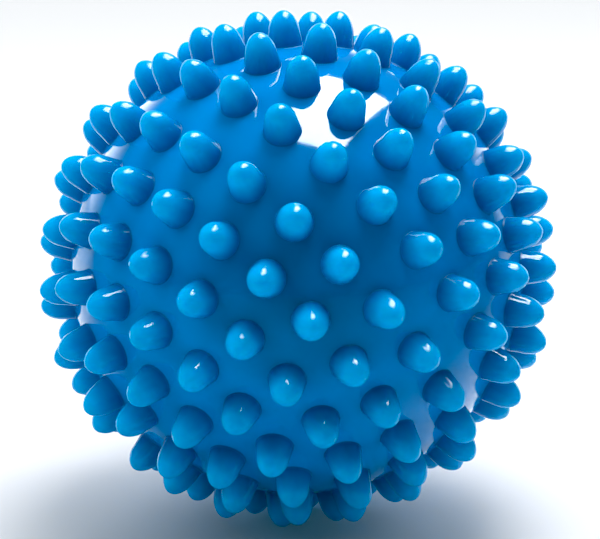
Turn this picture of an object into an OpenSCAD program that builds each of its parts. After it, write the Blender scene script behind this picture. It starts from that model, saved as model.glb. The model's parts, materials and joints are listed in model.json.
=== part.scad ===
// Spiky massage ball: a soft hollow shell moulded in one piece with its blunt spikes, and a two-piece
// air valve at one pole. The origin is the centre of the ball, +Z is up, and the ball lies as it rests
// on a table. Lengths are in millimetres and angles in degrees.

/* [Ball] */
// Diameter over the tips of the spikes
ball_d = 75; // [72:1:100]
// Height of a spike above the round body
spike_h = 4.9; // [4:0.1:5.4]
// Thickness of the hollow body's wall
wall_t = 2.2; // [1.8:0.1:3]

/* [Spikes] */
// Diameter of a spike where it meets the body
spike_root_d = 4.9; // [4.5:0.1:5.2]
// Diameter of the dome that ends a spike
spike_dome_d = 3.8; // [3.4:0.1:4.2]
// Number of spikes in each ring of one half, from the belt to the pole
ring_counts = [25, 24, 21, 17, 12, 6]; // [3:1:25]
// Latitude of the ring next to the belt
first_ring_lat = 7.9; // [7:0.1:8]
// Latitude between neighbouring rings
ring_step = 13.8; // [13:0.1:14]
// Turn of each ring of the valve's half about the valve axis
valve_half_turns = [10.7, 10.4, 7.4, 12.7, 20.8, 10]; // [0:0.1:60]
// Turn of each ring of the plain half about the valve axis
plain_half_turns = [13.9, 8.8, 0.3, 3.4, 12.7, 40.4]; // [0:0.1:60]

/* [Valve] */
// Diameter of the valve seat's collar
seat_d = 6.4; // [6:0.1:7]
// Length of the seat, from the ball's surface inwards
seat_l = 9; // [7:0.5:11]
// Diameter of the seat's flange inside the shell
flange_d = 11; // [9:0.5:14]
// Thickness of the flange at its rim
flange_t = 1.5; // [1:0.1:2.5]
// Diameter of the valve core's round head
core_head_d = 5; // [4.8:0.1:5.2]
// Thickness of the core's head
core_head_t = 1.2; // [1:0.1:1.6]
// Diameter of the core's stem
core_stem_d = 3.8; // [3.6:0.1:4]
// Gap on the radius between the core and its seat
core_gap = 0.03; // [0.02:0.01:0.08]
// Diameter of the guide hole for a 2 mm inflating needle
needle_hole_d = 2.1; // [2.1:0.02:2.16]
// Depth of the guide hole, with its lead-in
needle_hole_l = 5; // [4:0.5:6]
// Depth of the flared lead-in, which is also how much it widens on the radius
lead_in = 0.5; // [0.2:0.1:0.6]

/* [Rest] */
// Lean of the valve axis from straight up
valve_lean = 51.3; // [0:0.1:180]
// Heading of that lean, from +X towards +Y
valve_heading = 32.9; // [-180:0.1:180]

/* [Hidden] */
$fn = 48;

pvc_blue = [0.02, 0.47, 0.80];
seat_blue = [0.03, 0.30, 0.58];
rubber_white = [0.88, 0.90, 0.90];

ball_r = ball_d / 2;
body_r = ball_r - spike_h;
hollow_r = body_r - wall_t;

// A spike's dome is a half ball, and its flank runs straight from the root to touch the dome.
dome_r = spike_dome_d / 2;
dome_z = ball_r - dome_r;
root_r = spike_root_d / 2;
root_to_dome = [root_r, dome_z - body_r];
flank_lean = atan2(root_to_dome.x, root_to_dome.y) - asin(dome_r / norm(root_to_dome));
touch = [dome_r * cos(flank_lean), dome_z + dome_r * sin(flank_lean)];
// Half a wall of each spike is buried in the shell, so that the two become one solid.
buried = wall_t / 2;
foot = [root_r + buried * tan(flank_lean), body_r - buried];

seat_z = body_r - seat_l;
flange_r = flange_d / 2;
flange_z = sqrt(hollow_r ^ 2 - flange_r ^ 2) - flange_t;
head_z = body_r - core_head_t;
stem_r = core_stem_d / 2;
head_r = core_head_d / 2;
needle_r = needle_hole_d / 2;

// Turns the ball from upright, with its valve on +Z, to how it lies.
module at_rest() {
    rotate([0, valve_lean, valve_heading]) children();
}

// Half of a spike's outline, with the spike's tip towards +Y and its axis on X = 0.
module spike_outline() {
    polygon([[0, foot.y], foot, touch, [0, touch.y]]);
    intersection() {
        translate([0, dome_z]) circle(dome_r);
        translate([0, touch.y]) square(dome_r);
    }
}

// One half's spikes, ring by ring. side is 1 for the valve's half and -1 for the plain half.
module spike_rings(turns, side) {
    for (ring = [0 : len(ring_counts) - 1]) {
        lat = side * (first_ring_lat + ring * ring_step);
        pitch = 360 / ring_counts[ring];
        for (i = [0 : ring_counts[ring] - 1])
            rotate([0, 90 - lat, turns[ring] + i * pitch])
                rotate_extrude() spike_outline();
    }
}

// The hollow shell with its spikes, open only where the valve seat passes through it.
module skin() {
    color(pvc_blue) at_rest() difference() {
        union() {
            sphere(body_r);
            spike_rings(valve_half_turns, 1);
            spike_rings(plain_half_turns, -1);
        }
        sphere(hollow_r);
        cylinder(h = ball_r, d = seat_d);
    }
}

// The collar bonded into the shell, with a flange against the inside of the wall.
module valve_seat() {
    color(seat_blue) at_rest() difference() {
        union() {
            intersection() {
                sphere(body_r);
                translate([0, 0, seat_z]) cylinder(h = ball_r, d = seat_d);
            }
            intersection() {
                sphere(hollow_r);
                translate([0, 0, flange_z]) cylinder(h = ball_r, r = flange_r);
            }
        }
        cylinder(h = ball_r, r = stem_r + core_gap);
        translate([0, 0, head_z]) cylinder(h = ball_r, r = head_r + core_gap);
    }
}

// The stopper that fills the seat. Its guide hole leads a needle to the self-closing end.
module valve_core() {
    color(rubber_white) at_rest() difference() {
        intersection() {
            sphere(body_r);
            union() {
                translate([0, 0, seat_z]) cylinder(h = seat_l, r = stem_r);
                translate([0, 0, head_z]) cylinder(h = ball_r, r = head_r);
            }
        }
        translate([0, 0, body_r - needle_hole_l]) cylinder(h = ball_r, r = needle_r);
        translate([0, 0, body_r - lead_in])
            cylinder(h = 2 * lead_in, r1 = needle_r, r2 = needle_r + 2 * lead_in);
    }
}

skin();
valve_seat();
valve_core();
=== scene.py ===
"""Looks of the massage ball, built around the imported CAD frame. Units are metres."""
import json
import math

import bpy
import numpy as np
from mathutils import Matrix, Quaternion, Vector, geometry

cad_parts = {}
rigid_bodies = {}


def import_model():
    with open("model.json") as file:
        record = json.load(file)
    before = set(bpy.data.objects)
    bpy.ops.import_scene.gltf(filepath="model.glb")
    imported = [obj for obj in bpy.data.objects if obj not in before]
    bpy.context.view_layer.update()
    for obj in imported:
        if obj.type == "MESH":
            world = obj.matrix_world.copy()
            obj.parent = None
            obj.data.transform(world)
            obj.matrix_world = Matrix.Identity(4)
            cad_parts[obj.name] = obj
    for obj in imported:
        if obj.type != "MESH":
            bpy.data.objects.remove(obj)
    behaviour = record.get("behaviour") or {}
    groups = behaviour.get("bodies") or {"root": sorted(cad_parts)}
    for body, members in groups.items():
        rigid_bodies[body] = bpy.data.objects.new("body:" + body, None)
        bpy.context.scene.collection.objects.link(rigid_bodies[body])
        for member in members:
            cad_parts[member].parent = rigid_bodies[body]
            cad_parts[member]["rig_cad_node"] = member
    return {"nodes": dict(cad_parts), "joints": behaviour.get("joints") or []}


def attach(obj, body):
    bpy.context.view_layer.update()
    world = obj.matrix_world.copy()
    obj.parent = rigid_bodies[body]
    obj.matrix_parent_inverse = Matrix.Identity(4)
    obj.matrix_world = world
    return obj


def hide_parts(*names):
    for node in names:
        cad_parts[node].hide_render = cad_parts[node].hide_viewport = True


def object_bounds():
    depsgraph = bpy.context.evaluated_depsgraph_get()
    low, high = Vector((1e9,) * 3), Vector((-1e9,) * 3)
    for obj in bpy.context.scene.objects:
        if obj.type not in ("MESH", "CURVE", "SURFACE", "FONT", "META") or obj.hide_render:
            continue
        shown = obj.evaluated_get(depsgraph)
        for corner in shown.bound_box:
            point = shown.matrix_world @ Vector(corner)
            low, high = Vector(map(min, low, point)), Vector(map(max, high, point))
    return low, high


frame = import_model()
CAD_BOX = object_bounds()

MM = 0.001
SEED = 7

# The valve's axis, as the record's joint states it.
AXIS = Vector(frame["joints"][0]["axis"]).normalized()
POLE = np.array(AXIS)

# Spikes: the half ellipse that ends one, the radius where its sloping flank meets the body, how far
# the small corner there reaches, and how finely the spike is cut.
DOME_R = 1.80 * MM
DOME_H = 2.60 * MM
ROOT_R = 2.60 * MM
CORNER = 0.04 * MM
SEGMENTS = 24
DOME_ROWS = 9
FLANK_SHARES = (0.45, 0.9, 1.0)

# How uneven the moulding is: how far a tip may stand off its axis, and by how much its height varies.
TIP_DRIFT = 0.22 * MM
HEIGHT_DRIFT = 0.10 * MM

# The body between the spikes: points on the whole sphere, and how far they keep from a spike's foot.
GAP_POINTS = 13000
GAP_MARGIN = 0.45 * MM

# The lip round the valve: its radius, its height, its section as (share of radius, share of height), and
# the share of its height that is left where the hole begins.
LIP_R = 4.1 * MM
LIP_H = 0.22 * MM
LIP_SECTION = ((0.96, 0.30), (0.90, 0.80), (0.85, 1.0), (0.81, 0.85))
LIP_END = 0.2

# How finely the lip and the hollow inside are cut.
RING_SEGMENTS = 48
INNER_ROWS = 20


# ---------------------------------------------------------------- reading the frame

def node_points(name):
    """A CAD node's vertices as an array of rows."""
    mesh = frame["nodes"][name].data
    co = np.empty(len(mesh.vertices) * 3)
    mesh.vertices.foreach_get("co", co)
    return co.reshape(-1, 3)


def spike_axes(points, radii, tip_r):
    """Unit vectors along the CAD spikes: the top of each dome is a vertex at the full radius."""
    slack = 0.01 * MM
    same_to_digits = 4
    tips = points[radii > tip_r - slack]
    tips = np.unique((tips / tip_r).round(same_to_digits), axis=0)
    return tips / np.linalg.norm(tips, axis=1)[:, None]


def cad_sizes():
    """Radii of the ball over its tips, of its body, its hollow and its hole, and the spikes' axes.

    Most of the points between two shares of the tips' radius lie on the body. The points nearest to the
    valve's axis, near its pole, are the hole's."""
    body_from, body_to = 0.84, 0.9
    hole_from = 0.9
    points = node_points("skin")
    radii = np.linalg.norm(points, axis=1)
    tip_r = radii.max()
    hollow_r = radii.min()
    near_body = radii[(radii > body_from * tip_r) & (radii < body_to * tip_r)]
    body_r = float(np.median(near_body))
    along = points @ POLE
    off_axis = np.linalg.norm(points - np.outer(along, POLE), axis=1)
    seat_r = off_axis[along > hole_from * hollow_r].min()
    return tip_r, body_r, hollow_r, seat_r, spike_axes(points, radii, tip_r)


TIP_R, BODY_R, HOLLOW_R, SEAT_R, SPIKES = cad_sizes()


# ---------------------------------------------------------------- mesh helpers

def side_vectors(axis):
    """Two unit vectors that make a right-handed set with axis."""
    steep = 0.9
    helper = np.array([0.0, 0.0, 1.0]) if abs(axis[2]) < steep else np.array([1.0, 0.0, 0.0])
    u = np.cross(helper, axis)
    u /= np.linalg.norm(u)
    return u, np.cross(axis, u)


def ring_on(axis, reach, height, count):
    """A circle of points round axis, at a distance reach from it and at a height along it."""
    u, v = side_vectors(axis)
    turns = np.arange(count) * 2 * math.pi / count
    return axis * height + reach * (np.outer(np.cos(turns), u) + np.outer(np.sin(turns), v))


def height_on_body(reach):
    """How far up an axis the body's sphere is, at a distance reach from that axis."""
    return math.sqrt(BODY_R ** 2 - reach ** 2)


def strip(a, b, count):
    """Quads between two rings whose first vertices are a and b."""
    faces = []
    for i in range(count):
        j = (i + 1) % count
        faces.append((a + i, b + i, b + j, a + j))
    return faces


def make_object(name, verts, faces):
    """A smooth-shaded mesh object from plain vertices and faces."""
    mesh = bpy.data.meshes.new(name)
    mesh.from_pydata([tuple(v) for v in verts], [], faces)
    mesh.validate()
    mesh.shade_smooth()
    return link_object(name, mesh)


def link_object(name, data):
    """A new object in the scene that shows data."""
    made = bpy.data.objects.new(name, data)
    bpy.context.scene.collection.objects.link(made)
    return made


# ---------------------------------------------------------------- the skin

def spike_outline():
    """Rows (reach, height) of a spike from just below its tip down to the body, as lathe steps.

    A half-ellipse tip runs without a break into a straight flank that widens down to the foot."""
    spike_h = TIP_R - height_on_body(ROOT_R)
    widen = (ROOT_R - DOME_R) / spike_h
    steps = []
    for turn in np.linspace(0, math.pi / 2, DOME_ROWS + 1)[1:]:
        steps.append((DOME_R * math.sin(turn), DOME_H * (1 - math.cos(turn))))
    for share in FLANK_SHARES:
        steps.append((DOME_R, DOME_H + (spike_h - CORNER - DOME_H) * share))
    rows = [(reach + widen * down, TIP_R - down) for reach, down in steps]
    rows.append((ROOT_R + CORNER, height_on_body(ROOT_R + CORNER)))
    return rows


def spike_vertices(axis, outline, drift, grow):
    """One spike's vertices: the tip, then its rings. drift moves the tip sideways, grow lengthens it."""
    rows = [ring_on(axis, reach, height, SEGMENTS) for reach, height in outline]
    verts = np.vstack([[axis * TIP_R]] + rows)
    share = np.clip((verts @ axis - BODY_R) / (TIP_R - BODY_R), 0, 1)
    share = share * share * (3 - 2 * share)
    return verts + np.outer(share, drift + axis * grow)


def spike_faces(first, rows):
    """A spike's faces: a fan round the tip, then bands down to the last ring."""
    faces = []
    for i in range(SEGMENTS):
        faces.append((first, first + 1 + i, first + 1 + (i + 1) % SEGMENTS))
    for row in range(rows - 1):
        a = first + 1 + row * SEGMENTS
        faces += strip(a, a + SEGMENTS, SEGMENTS)
    return faces


def add_spikes(verts, faces, outline):
    """Adds every spike to verts and faces, and returns the numbers of the vertices at their feet."""
    rng = np.random.default_rng(SEED)
    feet = []
    for axis in SPIKES:
        drift = rng.normal(size=3) * TIP_DRIFT / 2
        drift -= axis * (drift @ axis)
        grow = rng.normal() * HEIGHT_DRIFT / 2
        first = len(verts)
        verts.extend(spike_vertices(axis, outline, drift, grow))
        faces += spike_faces(first, len(outline))
        feet += range(len(verts) - SEGMENTS, len(verts))
    return feet


def gap_directions(keep_off):
    """Even points on the unit sphere (a golden spiral) that lie clear of every spike and of the valve."""
    i = np.arange(GAP_POINTS) + 0.5
    z = 1 - 2 * i / GAP_POINTS
    turn = math.pi * (1 + math.sqrt(5)) * i
    flat = np.sqrt(1 - z * z)
    points = np.stack([flat * np.cos(turn), flat * np.sin(turn), z], 1)
    clear = (points @ SPIKES.T).max(1) < math.cos(keep_off / BODY_R)
    off_valve = points @ POLE < math.cos((LIP_R + GAP_MARGIN) / BODY_R)
    return points[clear & off_valve]


def flat_map(unit):
    """Stereographic map from the valve's pole, so that the skin becomes a disc with the valve outside."""
    u, v = side_vectors(POLE)
    scale = 1 / (1 - unit @ POLE)
    return np.stack([unit @ u * scale, unit @ v * scale], 1)


def body_faces(unit, group):
    """Triangles that join the points of the body. group names the ring a point is on, or is -1."""
    merge_within = 1e-7
    flat = [Vector(p) for p in flat_map(unit)]
    result = geometry.delaunay_2d_cdt(flat, [], [], 0, merge_within)
    source = [ids[0] for ids in result[3]]
    faces = []
    for face in result[2]:
        tri = [source[i] for i in face]
        rings = {group[i] for i in tri}
        if len(rings) == 1 and -1 not in rings:
            continue
        # The map looks at the ball from outside the pole opposite, which turns the faces over.
        faces.append(tuple(reversed(tri)))
    return faces


def add_body(verts, faces, feet, keep_off):
    """Fills the body between the spikes' feet and the lip. Returns the numbers of its vertices, their
    directions and the number of the lip's first vertex."""
    gaps = gap_directions(keep_off)
    lip = len(verts) + len(gaps)
    index = feet + list(range(len(verts), lip + RING_SEGMENTS))
    verts.extend(gaps * BODY_R)
    verts.extend(ring_on(POLE, LIP_R, height_on_body(LIP_R), RING_SEGMENTS))
    group = [number // SEGMENTS for number in range(len(feet))]
    group += [-1] * len(gaps)
    group += [len(SPIKES)] * RING_SEGMENTS
    unit = np.array([verts[i] for i in index]) / BODY_R
    for face in body_faces(unit, group):
        faces.append(tuple(index[i] for i in face))
    return index, unit, lip


def mouth_rows():
    """Rows (reach, height) from the lip through the hole in the wall and round the hollow inside."""
    rows = []
    for share, lift in LIP_SECTION + ((SEAT_R / LIP_R, LIP_END),):
        rows.append((LIP_R * share, height_on_body(LIP_R * share) + LIP_H * lift))
    first = math.asin(SEAT_R / HOLLOW_R)
    for i in range(INNER_ROWS):
        turn = first + (math.pi - first) * i / INNER_ROWS
        rows.append((HOLLOW_R * math.sin(turn), HOLLOW_R * math.cos(turn)))
    return rows


def add_mouth(verts, faces, lip):
    """The raised lip round the valve, the hole through the wall and the hollow inside."""
    rings = [lip]
    for reach, height in mouth_rows():
        rings.append(len(verts))
        verts.extend(ring_on(POLE, reach, height, RING_SEGMENTS))
    for a, b in zip(rings, rings[1:]):
        faces += [tuple(reversed(face)) for face in strip(a, b, RING_SEGMENTS)]
    end = len(verts)
    verts.append(-POLE * HOLLOW_R)
    for i in range(RING_SEGMENTS):
        faces.append((rings[-1] + i, rings[-1] + (i + 1) % RING_SEGMENTS, end))


def round_normals(mesh, index, unit):
    """Shades the body's vertices as the true sphere, so that reflections in it stay clean."""
    normals = np.empty(len(mesh.vertices) * 3)
    mesh.vertex_normals.foreach_get("vector", normals)
    normals = normals.reshape(-1, 3)
    normals[index] = unit
    mesh.normals_split_custom_set_from_vertices(normals.tolist())


def build_skin():
    """The hollow shell with its spikes: one closed mesh."""
    verts, faces = [], []
    outline = spike_outline()
    foot_reach = outline[-1][0]
    feet = add_spikes(verts, faces, outline)
    index, unit, lip = add_body(verts, faces, feet, foot_reach + GAP_MARGIN)
    add_mouth(verts, faces, lip)
    piece = make_object("skin_shell", verts, faces)
    round_normals(piece.data, index, unit)
    return piece


# ---------------------------------------------------------------- node trees

class Nodes:
    """Short hands for building a node tree. A value is a number, a colour or a node's output."""

    def __init__(self, tree):
        self.tree = tree

    def add(self, kind, **settings):
        """A new node with these settings."""
        node = self.tree.nodes.new(kind)
        for key, value in settings.items():
            setattr(node, key, value)
        return node

    def feed(self, node, inputs):
        """Sets a node's inputs, each to its value."""
        for key, value in inputs.items():
            if isinstance(value, bpy.types.NodeSocket):
                self.tree.links.new(value, node.inputs[key])
            else:
                node.inputs[key].default_value = value

    def where(self):
        """The place on the object, in its own frame."""
        return self.add("ShaderNodeTexCoord").outputs["Object"]

    def split(self, vector):
        """A vector's X, Y and Z."""
        node = self.add("ShaderNodeSeparateXYZ")
        self.feed(node, {0: vector})
        return node.outputs

    def length(self, vector):
        """How long a vector is."""
        node = self.add("ShaderNodeVectorMath", operation="LENGTH")
        self.feed(node, {0: vector})
        return node.outputs["Value"]

    def math(self, operation, *values):
        """One sum, product or other operation on values."""
        node = self.add("ShaderNodeMath", operation=operation)
        self.feed(node, dict(enumerate(values)))
        return node.outputs["Value"]

    def noise(self, where, scale, detail=3.0):
        """Cloudy noise, mostly inside NOISE_BAND."""
        node = self.add("ShaderNodeTexNoise")
        self.feed(node, {"Vector": where, "Scale": scale, "Detail": detail})
        return node.outputs["Fac"]

    def ramp(self, value, band, levels, shape="LINEAR"):
        """The first level where value is below the band, the second where it is above it."""
        node = self.add("ShaderNodeMapRange", interpolation_type=shape)
        ends = zip(("From Min", "From Max", "To Min", "To Max"), (*band, *levels))
        self.feed(node, {"Value": value, **dict(ends)})
        return node.outputs["Result"]

    def smooth(self, value, band, levels):
        """A ramp that starts and ends gently."""
        return self.ramp(value, band, levels, "SMOOTHSTEP")

    def color_ramp(self, value, low, high):
        """Colour low where value is 0, and high where it is 1."""
        node = self.add("ShaderNodeValToRGB")
        node.color_ramp.elements[0].color = low
        node.color_ramp.elements[1].color = high
        self.feed(node, {"Fac": value})
        return node.outputs["Color"]

    def mix(self, factor, a, b, **settings):
        """a where factor is 0, and b where it is 1."""
        node = self.add("ShaderNodeMix", **settings)
        self.feed(node, {"Factor": factor, "A": a, "B": b})
        return node.outputs["Result"]

    def blend(self, factor, a, b):
        """From colour a to colour b."""
        return self.mix(factor, a, b, data_type="RGBA")

    def tint(self, a, b):
        """Colour a times b."""
        return self.mix(1.0, a, b, data_type="RGBA", blend_type="MULTIPLY")

    def when_mirrored(self, seen, mirrored):
        """mirrored in what glossy surfaces show, and seen everywhere else."""
        path = self.add("ShaderNodeLightPath")
        return self.mix(path.outputs["Is Glossy Ray"], seen, mirrored)


def new_material(name):
    """A material, the helpers for its tree, and its main shader."""
    material = bpy.data.materials.new(name)
    material.use_nodes = True
    tree = material.node_tree
    return material, Nodes(tree), tree.nodes["Principled BSDF"]


# ---------------------------------------------------------------- materials

BODY_BLUE = (0.0, 0.164, 0.465, 1)
# Painted shade: a spike's foot is darker than the body, where shade falls in the crease round it.
FOOT_SHADE_BLUE = (0.0, 0.122, 0.38, 1)
# Partly the spikes' own lighter PVC, partly a painted glow of light through the translucent tips.
TIP_BLUE_AND_GLOW = (0.0, 0.355, 0.76, 1)
SEAT_BLUES = ((0.0, 0.05, 0.22, 1), (0.0, 0.09, 0.33, 1))
RUBBER_WHITES = ((0.40, 0.42, 0.41, 1), (0.56, 0.58, 0.57, 1))

# The range that a noise value mostly stays in.
NOISE_BAND = (0.3, 0.7)
# How far the body's surface leans away from the eye, from its deepest blue to its lightest: a painted
# glow that stands for light scattered through the translucent shell.
SLANT_GLOW_BAND = (0.0, 0.18)
# Bands of radius: where the body's looks give way to a spike's painted foot shade, where dirt thins out
# above a foot, where a spike brightens from that painted shade to its lighter blue and painted glow at
# the tip, and where its tip is worn.
FOOT_BAND = (BODY_R + 0.001 * MM, BODY_R + 0.012 * MM)
DIRT_BAND = (BODY_R + 0.10 * MM, BODY_R + 0.50 * MM)
SPIKE_BAND = (BODY_R + 0.2 * MM, TIP_R - 1.2 * MM)
WORN_BAND = (TIP_R - 2.5 * MM, TIP_R - 1.0 * MM)
# Noise scales: about one over the size of what each stands for, in metres.
CLOUD_SCALE = 90.0
SMEAR_SCALE = 260.0
BLOOM_SCALE = 700.0
PEEL_SCALE = 900.0
GRAIN_SCALE = 1500.0


def pvc_color(nodes, where, radius):
    """Deep blue on the body, deepest where it faces the eye and lighter, by a painted glow, where it
    slants away; a painted shade at each spike's foot, and brighter towards the tips, partly the spikes'
    own lighter PVC and partly a painted glow of light through them.
    """
    slant = nodes.add("ShaderNodeLayerWeight").outputs["Facing"]
    # Painted glow: the body is lighter where it slants away from the eye, standing for light scattered
    # through the shell.
    body = nodes.tint(BODY_BLUE, nodes.ramp(slant, SLANT_GLOW_BAND, (0.72, 1.28)))
    # Painted shade at each spike's foot, darker than the body.
    body = nodes.blend(nodes.ramp(radius, FOOT_BAND, (0.0, 1.0)), body, FOOT_SHADE_BLUE)
    # From the painted shade at the foot up to the lighter blue and painted glow of the tip.
    height = nodes.ramp(radius, SPIKE_BAND, (0.0, 1.0))
    cloud = nodes.ramp(nodes.noise(where, CLOUD_SCALE), NOISE_BAND, (0.92, 1.04))
    return nodes.tint(nodes.blend(height, body, TIP_BLUE_AND_GLOW), cloud)


def pvc_roughness(nodes, where, radius):
    """Glossy with faint smears, duller on the worn tips and in the dirt round each spike's foot."""
    gloss = nodes.ramp(nodes.noise(where, SMEAR_SCALE, 4.0), NOISE_BAND, (0.05, 0.10))
    worn = nodes.ramp(radius, WORN_BAND, (0.0, 0.12))
    off_body = nodes.ramp(radius, FOOT_BAND, (0.0, 0.45))
    near_foot = nodes.ramp(radius, DIRT_BAND, (1.0, 0.0))
    dirt = nodes.math("MULTIPLY", off_body, near_foot)
    return nodes.math("ADD", nodes.math("ADD", gloss, worn), dirt)


def pvc_bump(nodes, where):
    """A faint orange peel."""
    bump = nodes.add("ShaderNodeBump")
    peel = nodes.noise(where, PEEL_SCALE, 2.0)
    nodes.feed(bump, {"Strength": 0.015, "Distance": 0.1 * MM, "Height": peel})
    return bump.outputs["Normal"]


def pvc_material():
    """Glossy soft PVC that light soaks into, most of all in the spikes."""
    material, nodes, shader = new_material("pvc_skin")
    where = nodes.where()
    radius = nodes.length(where)
    nodes.feed(shader, {
        "Base Color": pvc_color(nodes, where, radius),
        "Roughness": pvc_roughness(nodes, where, radius),
        "Normal": pvc_bump(nodes, where),
        "IOR": 1.53,
        "Specular IOR Level": nodes.ramp(radius, FOOT_BAND, (0.5, 0.3)),
        "Specular Tint": (0.8, 0.92, 1.0, 1),
        "Subsurface Weight": nodes.ramp(radius, FOOT_BAND, (0.1, 0.5)),
        "Subsurface Scale": 2.5 * MM,
        "Subsurface Radius": (0.15, 0.6, 1.0),
    })
    return material


def seat_material():
    """Satin PVC of the valve seat, with a fine moulded grain."""
    material, nodes, shader = new_material("pvc_seat")
    grain = nodes.noise(nodes.where(), GRAIN_SCALE)
    nodes.feed(shader, {
        "Base Color": nodes.color_ramp(grain, *SEAT_BLUES),
        "Roughness": nodes.ramp(grain, NOISE_BAND, (0.28, 0.45)),
    })
    return material


def rubber_material():
    """Off-white valve rubber with a dusty, uneven bloom."""
    material, nodes, shader = new_material("valve_rubber")
    bloom = nodes.noise(nodes.where(), BLOOM_SCALE, 5.0)
    nodes.feed(shader, {
        "Base Color": nodes.color_ramp(bloom, *RUBBER_WHITES),
        "Roughness": nodes.ramp(bloom, NOISE_BAND, (0.45, 0.65)),
        "Subsurface Weight": 0.2,
        "Subsurface Scale": 0.6 * MM,
    })
    return material


def dress(piece, material, body):
    """Gives a piece its material and the body it rides on."""
    piece.data.materials.clear()
    piece.data.materials.append(material)
    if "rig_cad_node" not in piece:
        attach(piece, body)


# ---------------------------------------------------------------- camera and lights

CAMERA_LIFT = math.radians(14)
CAMERA_AWAY = 7.91 * TIP_R
LENS_MM = 122.7
SHIFT = (0.004, -0.003)

# The overhead softbox, and where the card lies in front of the ball.
OVERHEAD_AWAY = 0.42
OVERHEAD_TURN = math.radians(-15)
CARD_Y = -0.155
CARD_ABOVE_FLOOR = 1 * MM


def add_camera():
    """The camera looks at the ball's centre from a little above, from the -Y side."""
    data = bpy.data.cameras.new("camera")
    data.lens = LENS_MM
    data.shift_x, data.shift_y = SHIFT
    data.clip_start = 0.01
    camera = link_object("camera", data)
    back = Vector((0, -math.cos(CAMERA_LIFT), math.sin(CAMERA_LIFT)))
    camera.location = back * CAMERA_AWAY
    camera.rotation_euler = back.to_track_quat("Z", "Y").to_euler()
    bpy.context.scene.camera = camera


def add_panel(name, width, depth, radiance):
    """A rectangular soft light. radiance is how bright its face is."""
    data = bpy.data.lights.new(name, "AREA")
    data.shape = "RECTANGLE"
    data.size = width
    data.size_y = depth
    data.energy = radiance * math.pi * width * depth
    light = link_object(name, data)
    light.rotation_mode = "QUATERNION"
    return light


def aim_at_ball(light, direction, away, turn=0.0):
    """Puts a light at a distance in a direction, facing the ball, and turns it about its own axis."""
    toward = Vector(direction).normalized()
    across = Vector((0, 1, 0)).cross(toward).normalized()
    level = Matrix((across, toward.cross(across), toward)).transposed().to_quaternion()
    light.location = toward * away
    light.rotation_quaternion = level @ Quaternion((0, 0, 1), turn)


def add_overhead():
    """The overhead softbox, as two lights: one that only gleams and one that only lights."""
    gleam = add_panel("overhead_gleam", width=0.193, depth=0.375, radiance=25)
    aim_at_ball(gleam, (0.207, 0.141, 0.969), OVERHEAD_AWAY, OVERHEAD_TURN)
    gleam.visible_diffuse = False
    light = add_panel("overhead_light", width=0.20, depth=0.36, radiance=7.3)
    aim_at_ball(light, (0.160, 0.082, 0.984), OVERHEAD_AWAY, OVERHEAD_TURN)
    light.visible_glossy = False


def add_card():
    """A bounce card that lies in front of the ball, out of the picture, and lights it from below."""
    card = add_panel("front_card", width=0.30, depth=0.10, radiance=0.80)
    card.data.color = (0.7, 1.0, 0.95)
    card.location = (0, CARD_Y, CAD_BOX[0].z + CARD_ABOVE_FLOOR)
    card.rotation_quaternion = Quaternion((1, 0, 0), math.pi)
    card.visible_glossy = False


def add_side_light(piece):
    """A soft light from the upper left that lights piece and not the floor."""
    light = add_panel("side_light", width=0.30, depth=0.30, radiance=2.4)
    aim_at_ball(light, (-0.75, -0.25, 0.60), away=0.40)
    light.data.color = (0.8, 1.0, 0.92)
    light.visible_glossy = False
    receivers = bpy.data.collections.new("side_lit")
    receivers.objects.link(piece)
    light.light_linking.receiver_collection = receivers


# ---------------------------------------------------------------- floor and sky

FLOOR_HALF = 3.0
FLOOR_WHITE = (0.95, 0.975, 1.0, 1)
# How white the floor is near the ball and far behind it, and the Y between which that changes.
FLOOR_LEVELS = (0.785, 0.985)
FLOOR_BAND = (0.10, 0.40)
# The floor as the ball mirrors it: bright in a wedge that opens backwards from a point under the ball,
# and dim outside it, a painted shade seen only in the ball's reflections.
# The band is measured from the wedge's edge inwards.
WEDGE_X = 0.03
WEDGE_SLOPE = 0.65
WEDGE_BAND = (-0.055, 0.0)
WEDGE_LEVELS = (0.22, 1.0)

# How bright the sky is: low down behind the ball, high up behind it, and on the camera's side.
HORIZON_LIGHT = 3.5
TOP_LIGHT = 2.06
FRONT_LIGHT = 0.20
# The Y part of a direction between which the camera's side gives way to the side behind the ball.
REAR_BAND = (-0.10, 0.35)


def floor_material():
    """Matt pale paper. Mirrored in the ball, it is dim in front of the ball and bright behind it: a
    painted shade that only reflections show.
    """
    material, nodes, shader = new_material("floor_pale")
    place = nodes.split(nodes.where())
    aside = nodes.math("ABSOLUTE", nodes.math("SUBTRACT", place["X"], WEDGE_X))
    inside = nodes.math("MULTIPLY_ADD", aside, -WEDGE_SLOPE, place["Y"])
    # Painted shade for reflections: the floor is dim outside the wedge.
    mirrored = nodes.ramp(inside, WEDGE_BAND, WEDGE_LEVELS)
    seen = nodes.ramp(place["Y"], FLOOR_BAND, FLOOR_LEVELS)
    nodes.feed(shader, {
        "Base Color": nodes.tint(FLOOR_WHITE, nodes.when_mirrored(seen, mirrored)),
        "Roughness": 0.9,
        "Specular IOR Level": 0.0,
    })
    return material


def add_floor():
    """A wide pale floor under the lowest spikes."""
    low = CAD_BOX[0].z
    signs = ((-1, -1), (1, -1), (1, 1), (-1, 1))
    mesh = bpy.data.meshes.new("floor")
    mesh.from_pydata([(x * FLOOR_HALF, y * FLOOR_HALF, low) for x, y in signs], [], [(0, 1, 2, 3)])
    floor = link_object("floor", mesh)
    floor.data.materials.append(floor_material())


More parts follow.
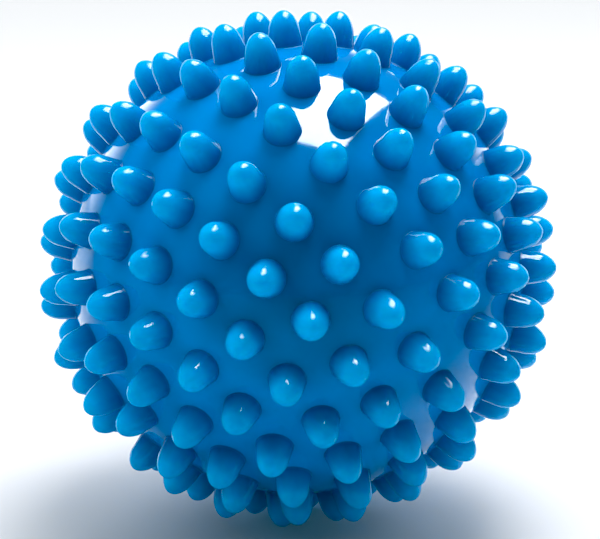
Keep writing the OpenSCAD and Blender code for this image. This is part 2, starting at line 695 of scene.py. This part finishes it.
def sky_lit(nodes, toward):
    """How strongly the sky lights things: bright behind the ball, dark on the camera's side."""
    horizon = nodes.smooth(toward["Z"], (0.0, 0.3), (HORIZON_LIGHT, 0.0))
    top = nodes.smooth(toward["Z"], (0.1, 0.6), (0.0, TOP_LIGHT))
    rear = nodes.smooth(toward["Y"], REAR_BAND, (0.0, 1.0))
    front = nodes.smooth(toward["Y"], REAR_BAND, (FRONT_LIGHT, 0.0))
    return nodes.math("ADD", nodes.math("MULTIPLY", nodes.math("ADD", horizon, top), rear), front)


def sky_mirrored(nodes, toward):
    """What the ball mirrors of the sky: a low bright strip behind it, dimmer at the left."""
    low_strip = nodes.smooth(toward["Z"], (0.12, 0.36), (1.0, 0.08))
    rear = nodes.smooth(toward["Y"], (0.50, 0.80), (0.01, 2.4))
    left = nodes.smooth(toward["X"], (-0.8, -0.4), (0.45, 1.0))
    return nodes.math("MULTIPLY", nodes.math("MULTIPLY", low_strip, rear), left)


def add_world():
    """A white studio whose camera side is dark. What it lights and what it mirrors differ."""
    world = bpy.data.worlds.new("studio")
    bpy.context.scene.world = world
    world.use_nodes = True
    nodes = Nodes(world.node_tree)
    toward = nodes.split(nodes.add("ShaderNodeTexCoord").outputs["Generated"])
    strength = nodes.when_mirrored(sky_lit(nodes, toward), sky_mirrored(nodes, toward))
    nodes.feed(world.node_tree.nodes["Background"], {"Color": (1, 1, 1, 1), "Strength": strength})


def add_grade():
    """Crushes faint reds, so that the blue stays pure where the studio is mirrored faintly."""
    view = bpy.context.scene.view_settings
    view.view_transform = "Standard"
    view.use_curve_mapping = True
    view.curve_mapping.black_level = (0.03, 0.0, 0.0)
    view.curve_mapping.update()


# ---------------------------------------------------------------- the scene

skin = build_skin()
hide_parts("skin")
dress(skin, pvc_material(), "ball")
dress(frame["nodes"]["valve_seat"], seat_material(), "ball")
dress(frame["nodes"]["valve_core"], rubber_material(), "stopper")

add_floor()
add_world()
add_overhead()
add_card()
add_side_light(skin)
add_camera()
add_grade()
